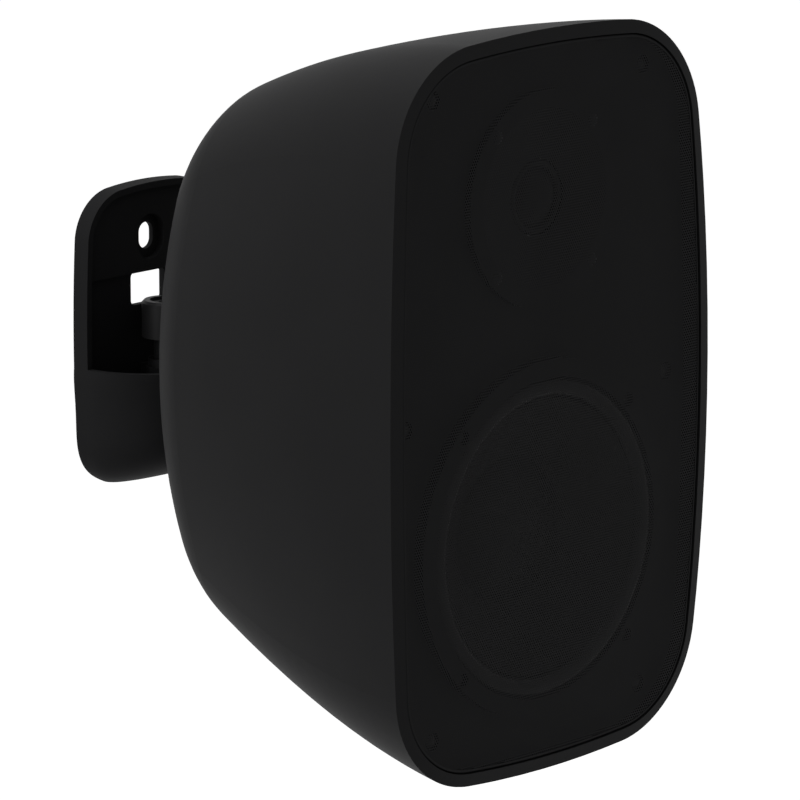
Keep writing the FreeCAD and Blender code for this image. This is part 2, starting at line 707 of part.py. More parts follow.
def voice_coil():
    """Coil former that hangs from the cone's neck into the magnet's gap."""
    start = cone_front(COIL_RADIUS + COIL_WALL)
    return tube(COIL_RADIUS + COIL_WALL, COIL_RADIUS, start, COIL_LENGTH, 0, -WOOFER_DROP)


def woofer_spider():
    """Corrugated disc that centres the coil, glued on the frame's cone."""
    floor = WOOFER_FRONT + BASKET_DEPTH
    level = floor - SPIDER_LIFT
    rim_end = WOOFER_FRONT + BASKET_RIM_DEPTH
    slope = (WOOFER_CUTOUT - HOLE_CLEARANCE - TOP_PLATE_RADIUS) / (floor - rim_end)
    outer = TOP_PLATE_RADIUS - BASKET_SHEET + slope * (SPIDER_LIFT - 3 * BASKET_SHEET)
    inner = COIL_RADIUS + COIL_WALL + SOFT_CLEARANCE
    steps = 2 * SPIDER_WAVES
    radii = [inner + (outer - inner) * i / steps for i in range(steps + 1)]
    front = [(r, level + (SPIDER_WAVE_HEIGHT if i % 2 else 0.0)) for i, r in enumerate(radii)]
    back = [(r, d + SPIDER_SHEET) for r, d in reversed(front)]
    return turned(-WOOFER_DROP, front[0], *front[1:], *back)


def woofer_top_plate():
    """Steel washer in front of the magnet."""
    bore = COIL_RADIUS + COIL_WALL + GAP_OUTSIDE
    return tube(TOP_PLATE_RADIUS, bore, WOOFER_FRONT + BASKET_DEPTH, TOP_PLATE_THICKNESS, 0, -WOOFER_DROP)


def woofer_magnet():
    """Ferrite ring."""
    depth = WOOFER_FRONT + BASKET_DEPTH + TOP_PLATE_THICKNESS
    return tube(MAGNET_RADIUS, MAGNET_HOLE, depth, MAGNET_THICKNESS, 0, -WOOFER_DROP)


def woofer_yoke():
    """Back plate and pole in one turning."""
    plate = WOOFER_FRONT + BASKET_DEPTH + TOP_PLATE_THICKNESS + MAGNET_THICKNESS
    pole = COIL_RADIUS - GAP_INSIDE
    tip = WOOFER_FRONT + BASKET_DEPTH
    return turned(-WOOFER_DROP, (0, tip), (pole, tip), (pole, plate), (TOP_PLATE_RADIUS, plate),
                  (TOP_PLATE_RADIUS, plate + YOKE_THICKNESS), (0, plate + YOKE_THICKNESS))


def woofer_screws():
    """Screws through the frame's flange into the baffle."""
    return joined([pan_head_screw(x, z - WOOFER_DROP, WOOFER_FRONT, WOOFER_SCREW_RADIUS, WOOFER_SCREW_HEAD,
                                  WOOFER_SCREW_HEAD_HEIGHT, WOOFER_SCREW_LENGTH)
                   for x, z in ring_spots(WOOFER_SCREWS, WOOFER_SCREW_CIRCLE)])


def tweeter_plate():
    """Face of the tweeter with a shallow horn to its dome."""
    front = BAFFLE_RECESS - TWEETER_FLANGE
    body = TWEETER_CUTOUT - TWEETER_BODY_CLEARANCE
    back = BAFFLE_RECESS + TWEETER_PLATE_DEPTH
    plate = turned(TWEETER_RISE, (TWEETER_RADIUS, front), (TWEETER_RADIUS, BAFFLE_RECESS),
                   (body, BAFFLE_RECESS), (body, back), (THROAT_RADIUS, back),
                   (THROAT_RADIUS, front + THROAT_DEPTH), (HORN_RADIUS, front))
    for x, z in ring_spots(TWEETER_SCREWS, TWEETER_SCREW_CIRCLE):
        plate = plate.cut(rod(TWEETER_SCREW_RADIUS + HOLE_CLEARANCE, front - CUT, TWEETER_FLANGE + 2 * CUT,
                              x, z + TWEETER_RISE))
    return plate


def tweeter_dome():
    """Soft dome with its half-roll edge, clamped behind the horn."""
    seat = BAFFLE_RECESS + TWEETER_PLATE_DEPTH
    level = seat - DOME_SHEET
    roll = (THROAT_RADIUS - HOLE_CLEARANCE - DOME_RADIUS) / 2
    middle = DOME_RADIUS + roll
    edge = THROAT_RADIUS - HOLE_CLEARANCE
    top = level - DOME_RISE
    shoulder, sag = cap_middle(DOME_RADIUS, DOME_RISE)
    return turned(TWEETER_RISE, (0, top), ((shoulder, top + sag), (DOME_RADIUS, level)),
                  ((middle, level - roll), (edge, level)), (edge, seat), (0, seat))


def tweeter_motor():
    """Magnet cup of the tweeter."""
    depth = BAFFLE_RECESS + TWEETER_PLATE_DEPTH
    end = depth + TWEETER_MOTOR_LENGTH
    return turned(TWEETER_RISE, (0, depth), (TWEETER_MOTOR_RADIUS, depth),
                  (TWEETER_MOTOR_RADIUS, end - TWEETER_MOTOR_CHAMFER),
                  (TWEETER_MOTOR_RADIUS - TWEETER_MOTOR_CHAMFER, end), (0, end))


def tweeter_screws():
    """Screws through the tweeter's face into the baffle."""
    front = BAFFLE_RECESS - TWEETER_FLANGE
    return joined([pan_head_screw(x, z + TWEETER_RISE, front, TWEETER_SCREW_RADIUS, TWEETER_SCREW_HEAD,
                                  TWEETER_SCREW_HEAD_HEIGHT, TWEETER_SCREW_LENGTH)
                   for x, z in ring_spots(TWEETER_SCREWS, TWEETER_SCREW_CIRCLE)])


def wadding():
    """Soft lining round the inside of the cabinet's wall."""
    outer = cabinet_form(WADDING_START, WADDING_END, CABINET_WALL + SOFT_CLEARANCE)
    inner = cabinet_form(WADDING_START - CUT, WADDING_END + CUT, CABINET_WALL + WADDING_THICKNESS)
    return outer.cut(inner)


def terminal_cup():
    """Recessed panel on the back with standoffs for the crossover board."""
    flange = block(CUP_WIDTH + 2 * CUP_FLANGE, CUP_HEIGHT + 2 * CUP_FLANGE, CUP_FLANGE_THICKNESS,
                   CABINET_DEPTH, 0, CUP_RISE)
    flange = flange.makeFillet(CUP_CORNER, edges_along(flange, BACKWARD))
    cup = block(CUP_WIDTH, CUP_HEIGHT, CUP_DEPTH + CUP_WALL, CUP_FLOOR - CUP_WALL, 0, CUP_RISE)
    hollow_depth = CUP_DEPTH + CUP_FLANGE_THICKNESS + CUT
    hollow = block(CUP_WIDTH - 2 * CUP_WALL, CUP_HEIGHT - 2 * CUP_WALL, hollow_depth, CUP_FLOOR, 0, CUP_RISE)
    panel = flange.fuse(cup)
    for x, z in board_screw_spots():
        panel = panel.fuse(rod(STANDOFF_RADIUS, BOARD_DEPTH + BOARD_THICKNESS,
                               BOARD_STANDOFF - BOARD_THICKNESS + CUP_WALL, x, z))
    panel = panel.cut(hollow)
    for x, z in board_screw_spots():
        panel = panel.cut(rod(BOARD_SCREW_RADIUS, BOARD_DEPTH, BOARD_STANDOFF, x, z))
    screw_hole = CUP_SCREW_RADIUS + HOLE_CLEARANCE
    panel = drilled(panel, screw_hole, CABINET_DEPTH, CUP_FLANGE_THICKNESS, cup_screw_spots())
    shaft_hole = SWITCH_SHAFT + HOLE_CLEARANCE
    panel = drilled(panel, shaft_hole, CUP_FLOOR - CUP_WALL, CUP_WALL, [(KNOB_OFFSET, CUP_RISE)])
    return panel.removeSplitter()


def board_screw_spots():
    """Places of the crossover board's four screws, from the cabinet's centre."""
    across = CUP_WIDTH / 2 - STANDOFF_RADIUS
    up = CUP_HEIGHT / 2 - STANDOFF_RADIUS
    return [(sx * across, CUP_RISE + sz * up) for sx in (1, -1) for sz in (1, -1)]


def cup_screws():
    """Four screws that hold the terminal cup on the back."""
    heads = []
    for x, z in cup_screw_spots():
        seat = CABINET_DEPTH + CUP_FLANGE_THICKNESS
        shank = rod(CUP_SCREW_RADIUS, seat - CUP_SCREW_LENGTH, CUP_SCREW_LENGTH, x, z)
        heads.append(shank.fuse(rod(CUP_SCREW_HEAD, seat, CUP_SCREW_HEAD_HEIGHT, x, z)))
    return joined(heads)


def terminal_block():
    """Row of screw terminals on the cup's floor, with wire entries underneath."""
    width = TERMINAL_WAYS * TERMINAL_PITCH
    body = block(width, TERMINAL_HEIGHT, TERMINAL_DEPTH, CUP_FLOOR, -TERMINAL_OFFSET, CUP_RISE)
    for x in terminal_spots():
        well = rod(TERMINAL_SCREW_RADIUS + HOLE_CLEARANCE, CUP_FLOOR + TERMINAL_WELL_FLOOR, TERMINAL_DEPTH,
                   x, CUP_RISE + TERMINAL_SCREW_RISE)
        mouth = place(x, CUP_FLOOR + TERMINAL_DEPTH / 2, CUP_RISE - TERMINAL_HEIGHT / 2)
        entry = Part.makeCylinder(TERMINAL_ENTRY, TERMINAL_HEIGHT / 2, mouth, UPWARD)
        body = body.cut(well).cut(entry)
    return body


def terminal_spots():
    """Sideways places of the terminals."""
    return [-TERMINAL_OFFSET + (i - (TERMINAL_WAYS - 1) / 2) * TERMINAL_PITCH for i in range(TERMINAL_WAYS)]


def terminal_screws():
    """Clamp screws of the terminals, with slotted heads."""
    screws = []
    z = CUP_RISE + TERMINAL_SCREW_RISE
    start = CUP_FLOOR + TERMINAL_WELL_FLOOR
    for x in terminal_spots():
        screw = rod(TERMINAL_SCREW_RADIUS, start, TERMINAL_SCREW_LENGTH, x, z)
        groove = block(2 * TERMINAL_SCREW_RADIUS, TERMINAL_SCREW_SLOT, TERMINAL_SCREW_SLOT,
                       start + TERMINAL_SCREW_LENGTH - TERMINAL_SCREW_SLOT, x, z)
        screws.append(screw.cut(groove))
    return joined(screws)


def tap_switch():
    """Rotary switch behind the cup's floor, with its shaft through the floor."""
    back = CUP_FLOOR - CUP_WALL
    body = rod(SWITCH_RADIUS, back - SWITCH_LENGTH, SWITCH_LENGTH, KNOB_OFFSET, CUP_RISE)
    shaft = rod(SWITCH_SHAFT, back, CUP_WALL + SWITCH_SHAFT_LENGTH, KNOB_OFFSET, CUP_RISE)
    return body.fuse(shaft)


def tap_knob():
    """Knob on the switch's shaft, with a raised grip across it."""
    base = CUP_FLOOR + KNOB_LIFT
    skirt = rod(KNOB_RADIUS, base, KNOB_SKIRT, KNOB_OFFSET, CUP_RISE)
    grip = block(KNOB_GRIP, 2 * KNOB_RADIUS, KNOB_HEIGHT, base, KNOB_OFFSET, CUP_RISE)
    bore = rod(SWITCH_SHAFT + RUNNING_FIT, base - CUT, SWITCH_SHAFT_LENGTH + CUT, KNOB_OFFSET, CUP_RISE)
    return skirt.fuse(grip.common(rod(KNOB_RADIUS, base, KNOB_HEIGHT, KNOB_OFFSET, CUP_RISE))).cut(bore)


def crossover_board():
    """Circuit board on the cup's standoffs, clear of the switch."""
    board = block(BOARD_WIDTH, BOARD_HEIGHT, BOARD_THICKNESS, BOARD_DEPTH, 0, CUP_RISE)
    for x, z in board_screw_spots():
        hole = rod(BOARD_SCREW_RADIUS + HOLE_CLEARANCE, BOARD_DEPTH - CUT, BOARD_THICKNESS + 2 * CUT, x, z)
        board = board.cut(hole)
    return board


def board_screws():
    """Four screws that hold the crossover board."""
    screws = []
    for x, z in board_screw_spots():
        head = rod(BOARD_SCREW_HEAD, BOARD_DEPTH - BOARD_SCREW_HEAD_HEIGHT, BOARD_SCREW_HEAD_HEIGHT, x, z)
        screws.append(head.fuse(rod(BOARD_SCREW_RADIUS, BOARD_DEPTH, BOARD_SCREW_LENGTH, x, z)))
    return joined(screws)


def crossover_inductors():
    """Two air-cored coils on the board."""
    coils = []
    for side in (1, -1):
        x = side * (BOARD_WIDTH / 2 - COIL_INDUCTOR_RADIUS - COIL_INDUCTOR_INSET)
        coils.append(tube(COIL_INDUCTOR_RADIUS, COIL_INDUCTOR_HOLE, BOARD_DEPTH - COIL_INDUCTOR_HEIGHT,
                          COIL_INDUCTOR_HEIGHT, x, CUP_RISE))
    return joined(coils)


def crossover_capacitors():
    """Film capacitors that lie on the board between the coils."""
    cans = []
    for i in (-1, 1):
        middle = place(0, BOARD_DEPTH - CAPACITOR_RADIUS, CUP_RISE + i * CAPACITOR_PITCH)
        cans.append(Part.makeCylinder(CAPACITOR_RADIUS, CAPACITOR_LENGTH,
                                      middle - RIGHTWARD * (CAPACITOR_LENGTH / 2), RIGHTWARD))
    return joined(cans)


def crossover_resistor():
    """Cement resistor on the board between the capacitors."""
    return block(RESISTOR_LENGTH, RESISTOR_SIDE, RESISTOR_SIDE, BOARD_DEPTH - RESISTOR_SIDE, 0, CUP_RISE)


def transformer_core():
    """Laminated core with two windows and its mounting feet on the cabinet's back wall."""
    depth = CAVITY_BACK - CORE_DEPTH
    core = block(CORE_WIDTH, CORE_HEIGHT, CORE_DEPTH, depth, 0, -TRANSFORMER_DROP)
    window = (CORE_WIDTH - 4 * CORE_LIMB) / 2
    for side in (1, -1):
        hole = block(window, CORE_HEIGHT - 2 * CORE_LIMB, CORE_DEPTH + 2 * CUT, depth - CUT,
                     side * (CORE_LIMB + window / 2), -TRANSFORMER_DROP)
        core = core.cut(hole)
    for x, z in core_screw_spots():
        foot = block(FOOT_WIDTH, FOOT_WIDTH, FOOT_THICKNESS, CAVITY_BACK - FOOT_THICKNESS, x, z)
        core = core.fuse(foot)
    for x, z in core_screw_spots():
        core = core.cut(rod(CORE_SCREW_RADIUS + HOLE_CLEARANCE, CAVITY_BACK - FOOT_THICKNESS - CUT,
                            FOOT_THICKNESS + 2 * CUT, x, z))
    return core


def transformer_winding():
    """Wound bobbin round the core's middle limb."""
    window = (CORE_WIDTH - 4 * CORE_LIMB) / 2
    height = CORE_HEIGHT - 2 * CORE_LIMB - 2 * WINDING_GAP
    width = 2 * (CORE_LIMB + window - WINDING_GAP)
    depth = CAVITY_BACK - CORE_DEPTH - WINDING_MARGIN
    length = WINDING_MARGIN + CORE_DEPTH - WINDING_GAP
    coil = block(width, height, length, depth, 0, -TRANSFORMER_DROP)
    limb = block(2 * (CORE_LIMB + WINDING_GAP), height + 2 * CUT, CORE_DEPTH,
                 CAVITY_BACK - CORE_DEPTH - WINDING_GAP, 0, -TRANSFORMER_DROP)
    return coil.cut(limb)


def transformer_screws():
    """Two screws through the transformer's feet."""
    seat = CAVITY_BACK - FOOT_THICKNESS
    return joined([pan_head_screw(x, z, seat, CORE_SCREW_RADIUS, CORE_SCREW_HEAD, CORE_SCREW_HEAD_HEIGHT,
                                  FOOT_THICKNESS + CORE_SCREW_BITE) for x, z in core_screw_spots()])


def plate_wire(inset, y):
    """Outline of the wall plate, drawn in by a wall thickness."""
    return bowed_wire(PLATE_WIDTH / 2 - inset, PLATE_HEIGHT / 2 - inset, PLATE_SIDE_BOW - inset,
                      PLATE_END_BOW - inset, PLATE_CORNER - inset, y, 0.0)


def plate_half_width(z):
    """Half the wall plate's width at a height."""
    (cx, cz), side, _, end = corner_circle(PLATE_WIDTH / 2, PLATE_HEIGHT / 2, PLATE_SIDE_BOW,
                                           PLATE_END_BOW, PLATE_CORNER)
    level = abs(z)
    if level <= side[1]:
        return PLATE_WIDTH / 2 - PLATE_SIDE_BOW + math.sqrt(PLATE_SIDE_BOW ** 2 - level ** 2)
    return cx + math.sqrt(max(0.0, PLATE_CORNER ** 2 - (min(level, end[1]) - cz) ** 2))


def nose_reach(z):
    """How far the nose stands off the wall at a height: upright, then rounded back to the plate."""
    share = max(0.0, NOSE_TURN_Z - z) / (PLATE_HEIGHT / 2 + NOSE_TURN_Z)
    return NOSE_REACH * max(0.0, 1 - share ** 2) ** NOSE_ROUNDNESS


def nose_section(z, wall, back):
    """Outline of the nose at a height: straight sides and a half ellipse in front."""
    half = plate_half_width(z) - wall
    reach = nose_reach(z - wall) - wall
    straight = max(back + NOSE_LEAST_SIDE, PLATE_DEPTH * reach / NOSE_REACH)
    turns = [math.pi * i / 8 for i in range(9)]
    front = [Vector(-half * math.cos(t), -straight - (reach - straight) * math.sin(t), z) for t in turns]
    curve = Part.BSplineCurve()
    curve.interpolate(front)
    left, right = Vector(-half, -back, z), Vector(half, -back, z)
    return Part.Wire([Part.LineSegment(left, front[0]).toShape(), curve.toShape(),
                      Part.LineSegment(front[-1], right).toShape(), Part.LineSegment(right, left).toShape()])


def nose_form(top, bottom, wall, back):
    """Solid of the nose between two heights: one upright stretch, then a rounded one."""
    upright = [top, (top + NOSE_TURN_Z) / 2, NOSE_TURN_Z]
    rounded = [NOSE_TURN_Z + (bottom - NOSE_TURN_Z) * i / 4 for i in range(1, 5)]
    return Part.makeLoft([nose_section(z, wall, back) for z in upright + rounded], True, False)


def slot(width, length, y, depth, z):
    """Upright slot through the wall plate."""
    half, run = width / 2, (length - width) / 2
    wire = path(Vector(half, y, z - run), Vector(half, y, z + run),
                (Vector(0, y, z + run + half), Vector(-half, y, z + run)), Vector(-half, y, z - run),
                (Vector(0, y, z - run - half), Vector(half, y, z - run)))
    return prism(wire, depth)


def above_lip(shape):
    """Part of a shape that lies above the nose's lip."""
    return shape.common(Part.makeBox(PLATE_WIDTH, 2 * PLATE_DEPTH, PLATE_HEIGHT,
                                     Vector(-PLATE_WIDTH / 2, -2 * PLATE_DEPTH, NOSE_LIP_Z)))


def plate_blank():
    """Flat part of the plate above the nose: a floor inside a rim."""
    plate = prism(plate_wire(0.0, -PLATE_DEPTH), PLATE_DEPTH)
    dish = prism(plate_wire(PLATE_WALL, -PLATE_DEPTH - CUT), PLATE_DEPTH + CUT - PLATE_FLOOR)
    return above_lip(plate.cut(dish))


def pan_post():
    """Post in the nose that carries the pan bolt, with a web back to the plate."""
    foot = BUSH_BASE_Z - POST_HEIGHT
    post = upright(POST_RADIUS, foot, POST_HEIGHT)
    web = Part.makeBox(POST_WEB, PAN_STANDOFF - PLATE_FLOOR / 2, POST_HEIGHT,
                       Vector(-POST_WEB / 2, -PAN_STANDOFF, foot))
    return post.fuse(web)


def cable_hole():
    """Oblong hole for the cable from the wall."""
    corner = Vector(-CABLE_HOLE_WIDTH / 2, -PLATE_DEPTH - CUT, CABLE_HOLE_Z - CABLE_HOLE_HEIGHT / 2)
    hole = Part.makeBox(CABLE_HOLE_WIDTH, PLATE_DEPTH + 2 * CUT, CABLE_HOLE_HEIGHT, corner)
    return hole.makeFillet(CABLE_HOLE_CORNER, edges_along(hole, BACKWARD))


def wall_plate():
    """Moulded plate with a rim, a hollow nose, the post for the pan bolt and the wall fixings."""
    bottom = -PLATE_HEIGHT / 2
    nose = nose_form(NOSE_LIP_Z, bottom + NOSE_END_MARGIN, 0.0, 0.0)
    nose = nose.cut(nose_form(NOSE_LIP_Z + CUT, bottom + NOSE_HOLLOW_MARGIN, PLATE_WALL, PLATE_FLOOR))
    solid = plate_blank().fuse(nose).fuse(pan_post())
    post_foot = BUSH_BASE_Z - POST_HEIGHT
    bolt_hole = upright(PIVOT_BOLT_RADIUS + HOLE_CLEARANCE, post_foot - CUT, POST_HEIGHT + 2 * CUT)
    seat = upright(INSERT_RADIUS, BUSH_BASE_Z - INSERT_LENGTH, INSERT_LENGTH + CUT)
    solid = solid.cut(bolt_hole).cut(seat)
    for z in (SLOT_Z, -SLOT_Z):
        solid = solid.cut(slot(SLOT_WIDTH, SLOT_LENGTH, -PLATE_DEPTH, PLATE_DEPTH + CUT, z))
    sink = slot(SLOT_WIDTH + 2 * SLOT_SINK_MARGIN, SLOT_LENGTH + 2 * SLOT_SINK_MARGIN, -PLATE_DEPTH,
                PLATE_DEPTH - PLATE_FLOOR + SLOT_SINK_DEPTH, SLOT_Z)
    access_start = Vector(0, -NOSE_REACH - CUT, -SLOT_Z)
    access_length = NOSE_REACH + CUT - PLATE_DEPTH
    access = Part.makeCylinder(NOSE_ACCESS_RADIUS, access_length, access_start, BACKWARD)
    return solid.cut(sink).cut(access).cut(cable_hole()).removeSplitter()


def pan_insert():
    """Threaded brass insert in the post."""
    return upright_tube(INSERT_RADIUS, PIVOT_BOLT_RADIUS, BUSH_BASE_Z - INSERT_LENGTH, INSERT_LENGTH)


def pan_bush():
    """Flanged bush that carries the arm's barrel above the post."""
    flange = upright_tube(BUSH_FLANGE_RADIUS, PIVOT_BOLT_RADIUS, BUSH_BASE_Z, BUSH_FLANGE_HEIGHT)
    neck_base = BUSH_BASE_Z + BUSH_FLANGE_HEIGHT
    neck = upright_tube(BUSH_NECK_RADIUS, PIVOT_BOLT_RADIUS, neck_base, BUSH_NECK_HEIGHT)
    return flange.fuse(neck).removeSplitter()


def pan_washer():
    """Friction washer under the pan bolt's head."""
    base = BARREL_BASE_Z + BARREL_HEIGHT - BOLT_RECESS_DEPTH + AXIAL_PLAY
    return upright_tube(BOLT_HEAD_RADIUS, PIVOT_BOLT_RADIUS, base, PAN_WASHER)


def pan_bolt():
    """Socket-head bolt on the pan axis."""
    seat = BARREL_BASE_Z + BARREL_HEIGHT - BOLT_RECESS_DEPTH + AXIAL_PLAY + PAN_WASHER
    foot = BUSH_BASE_Z - INSERT_LENGTH
    head = upright(BOLT_HEAD_RADIUS, seat, BOLT_HEAD_HEIGHT)
    bolt = upright(PIVOT_BOLT_RADIUS, foot, seat - foot).fuse(head)
    socket_floor = Vector(0, -PAN_STANDOFF, seat + BOLT_HEAD_HEIGHT - BOLT_SOCKET_DEPTH)
    return bolt.cut(hexagon(BOLT_SOCKET, BOLT_SOCKET_DEPTH + CUT, socket_floor, UPWARD)).removeSplitter()


def swivel_arm():
    """Arm with an upright barrel on the pan bolt and a level barrel for the tilt bolt."""
    barrel = upright(BARREL_RADIUS, BARREL_BASE_Z, BARREL_HEIGHT)
    barrel = barrel.makeChamfer(BARREL_CHAMFER, edges_at(barrel, UPWARD, BARREL_BASE_Z + BARREL_HEIGHT))
    tilt = level(TILT_BARREL_RADIUS, -TILT_BARREL_LENGTH / 2, TILT_BARREL_LENGTH)
    web = Part.makeBox(ARM_WIDTH, PAN_TO_TILT, ARM_HEIGHT,
                       Vector(-ARM_WIDTH / 2, TILT_Y, ARM_Z - ARM_HEIGHT / 2))
    web = web.makeFillet(ARM_EDGE, edges_along(web, BACKWARD))
    bore = PIVOT_BOLT_RADIUS + RUNNING_FIT
    recess = BARREL_BASE_Z + BARREL_HEIGHT - BOLT_RECESS_DEPTH
    arm = barrel.fuse(web).fuse(tilt)
    arm = arm.cut(upright(bore, BARREL_BASE_Z - CUT, BARREL_HEIGHT + 2 * CUT))
    arm = arm.cut(upright(BOLT_RECESS_RADIUS, recess, BOLT_RECESS_DEPTH + CUT))
    return arm.cut(level(bore, -TILT_BARREL_LENGTH / 2 - CUT, TILT_BARREL_LENGTH + 2 * CUT)).removeSplitter()


def ear_inner():
    """Inner face of the clevis ears, from the middle."""
    return TILT_BARREL_LENGTH / 2 + TILT_WASHER + 2 * AXIAL_PLAY


def tilt_washers():
    """Friction washers on both sides of the arm's level barrel."""
    near = TILT_BARREL_LENGTH / 2 + AXIAL_PLAY
    bore = PIVOT_BOLT_RADIUS + RUNNING_FIT
    return joined([level_tube(TILT_BARREL_RADIUS, bore, near, TILT_WASHER),
                   level_tube(TILT_BARREL_RADIUS, bore, -near - TILT_WASHER, TILT_WASHER)])


def mount_clevis():
    """Cast foot on the cabinet's back with two ears for the tilt bolt."""
    base = Part.makeBox(CLEVIS_WIDTH, CLEVIS_PLATE, CLEVIS_HEIGHT,
                        Vector(-CLEVIS_WIDTH / 2, BACK_Y, ARM_Z - CLEVIS_HEIGHT / 2))
    base = base.makeFillet(CLEVIS_CORNER, edges_along(base, BACKWARD))
    base = base.makeFillet(CLEVIS_EDGE, edges_at(base, BACKWARD, BACK_Y + CLEVIS_PLATE))
    for side in (1, -1):
        start = ear_inner() if side > 0 else -ear_inner() - EAR_THICKNESS
        stem = Part.makeBox(EAR_THICKNESS, TILT_TO_BACK, 2 * EAR_RADIUS,
                            Vector(start, BACK_Y, ARM_Z - EAR_RADIUS))
        base = base.fuse(level(EAR_RADIUS, start, EAR_THICKNESS).fuse(stem))
    span = 2 * (ear_inner() + EAR_THICKNESS)
    base = base.cut(level(PIVOT_BOLT_RADIUS + RUNNING_FIT, -span / 2 - CUT, span + 2 * CUT))
    screw_hole = MOUNT_SCREW_RADIUS + HOLE_CLEARANCE
    base = drilled(base, screw_hole, CABINET_DEPTH, CLEVIS_PLATE, clevis_screw_spots())
    return base.removeSplitter()


def mount_screws():
    """Four screws from the clevis through the back wall into the backing plate."""
    seat = CABINET_DEPTH + CLEVIS_PLATE
    length = CLEVIS_PLATE + BACK_WALL + BACKING_THICKNESS
    return joined([rod(MOUNT_SCREW_HEAD, seat, MOUNT_SCREW_HEAD_HEIGHT, x, z).fuse(
        rod(MOUNT_SCREW_RADIUS, seat - length, length, x, z)) for x, z in clevis_screw_spots()])


def backing_plate():
    """Steel plate inside the back wall that takes the clevis screws."""
    rise = ARM_Z - CABINET_RISE
    front = CAVITY_BACK - BACKING_THICKNESS
    plate = block(CLEVIS_WIDTH, CLEVIS_HEIGHT, BACKING_THICKNESS, front, 0, rise)
    for x, z in clevis_screw_spots():
        plate = plate.cut(rod(MOUNT_SCREW_RADIUS, front - CUT, BACKING_THICKNESS + 2 * CUT, x, z))
    return plate


def tilt_bolt():
    """Hexagon bolt on the tilt axis."""
    reach = ear_inner() + EAR_THICKNESS
    shank = level(PIVOT_BOLT_RADIUS, -reach, 2 * reach + TILT_HEX_HEIGHT + TILT_BOLT_END)
    return shank.fuse(hexagon(TILT_HEX, TILT_HEX_HEIGHT, tilt_axis(-reach - TILT_HEX_HEIGHT), RIGHTWARD))


def tilt_nut():
    """Nut on the tilt bolt."""
    reach = ear_inner() + EAR_THICKNESS
    nut = hexagon(TILT_HEX, TILT_HEX_HEIGHT, tilt_axis(reach), RIGHTWARD)
    return nut.cut(level(PIVOT_BOLT_RADIUS, reach - CUT, TILT_HEX_HEIGHT + 2 * CUT))


PIECES = [wall_plate, pan_insert, pan_bush, pan_washer, pan_bolt, swivel_arm, tilt_washers, mount_clevis,
          mount_screws, backing_plate, tilt_bolt, tilt_nut, cabinet, front_baffle, baffle_gasket,
          baffle_screws, grille, woofer_basket, woofer_trim, woofer_surround, woofer_cone, dust_cap,
          voice_coil, woofer_spider, woofer_top_plate, woofer_magnet, woofer_yoke, woofer_screws,
          tweeter_plate, tweeter_dome, tweeter_motor, tweeter_screws, wadding, terminal_cup, cup_screws,
          terminal_block, terminal_screws, tap_switch, tap_knob, crossover_board, board_screws,
          crossover_inductors, crossover_capacitors, crossover_resistor, transformer_core,
          transformer_winding, transformer_screws]

os.makedirs("parts", exist_ok=True)
for piece in PIECES:
    piece().exportStep("parts/" + piece.__name__ + ".step")
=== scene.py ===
"""Two-way wall loudspeaker on a pan and tilt bracket, dressed and lit around its solid frame."""

import json
import math

import bpy
import numpy as np
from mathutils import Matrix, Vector
from mathutils.bvhtree import BVHTree


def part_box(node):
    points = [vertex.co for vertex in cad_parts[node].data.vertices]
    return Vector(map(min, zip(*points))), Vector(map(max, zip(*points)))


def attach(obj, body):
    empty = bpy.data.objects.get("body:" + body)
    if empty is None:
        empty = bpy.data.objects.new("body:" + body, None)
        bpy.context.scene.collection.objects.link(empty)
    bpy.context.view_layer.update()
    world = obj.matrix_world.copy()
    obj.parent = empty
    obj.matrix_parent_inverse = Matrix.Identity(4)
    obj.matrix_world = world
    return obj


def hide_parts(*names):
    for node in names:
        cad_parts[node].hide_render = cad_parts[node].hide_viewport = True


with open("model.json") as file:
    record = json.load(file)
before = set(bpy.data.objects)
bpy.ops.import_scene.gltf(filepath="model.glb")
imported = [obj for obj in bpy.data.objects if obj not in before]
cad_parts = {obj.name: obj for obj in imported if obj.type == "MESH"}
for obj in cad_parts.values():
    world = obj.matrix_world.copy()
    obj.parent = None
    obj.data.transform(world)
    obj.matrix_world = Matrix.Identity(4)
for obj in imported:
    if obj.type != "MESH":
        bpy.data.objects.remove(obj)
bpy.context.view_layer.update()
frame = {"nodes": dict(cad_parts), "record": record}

# Sizes below are in millimetres unless a heading says metres
MM = 0.001

# Camera at the photograph's viewing angle: its place in metres, its aim as a direction
CAMERA_PLACE = Vector((-1.9441, -1.9807, 0.5711))
CAMERA_AIM = Vector((0.7137, 0.6672, -0.2132))
CAMERA_LENS = 274.76
CAMERA_SENSOR = 36.0

# Studio: floor below the mounting height, and soft lamps aimed at the cabinet, in metres and watts
FLOOR_LEVEL = -1.3
FLOOR_SIZE = 60.0
FLOOR_COLOUR = 0.8
FLOOR_GLOW = 0.62
WORLD_FILL = 0.5
WHITE = (1.0, 1.0, 1.0, 1.0)
LAMP_AIM = Vector((0.0, -0.15, 0.0))
LAMPS = {
    "lamp_top": {"place": (-0.2, 0.3, 1.7), "size": 1.6, "watts": 26.0},
    "lamp_left": {"place": (-1.9, 0.5, 0.5), "size": 1.4, "watts": 26.0},
    "lamp_front": {"place": (0.6, -2.4, 0.2), "size": 1.6, "watts": 8.0},
}

# Perforated grille: a sheet of hexagonal cells, just behind a plain border that it reaches under
HOLE_PITCH = 1.35
HOLE_WIDTH = 0.76
HEX_CORNERS = 6
SHEET_PARTS = 3
BORDER = 1.4
BORDER_OVERLAP = 0.8
SHEET_BEHIND = 0.1
EDGE_RADIUS = 0.8
EDGE_STEPS = 5
OUTLINE_STEPS = 720

# Corners that neighbouring cells share are matched on a grid with so many steps to the pitch
CORNER_GRID = 100

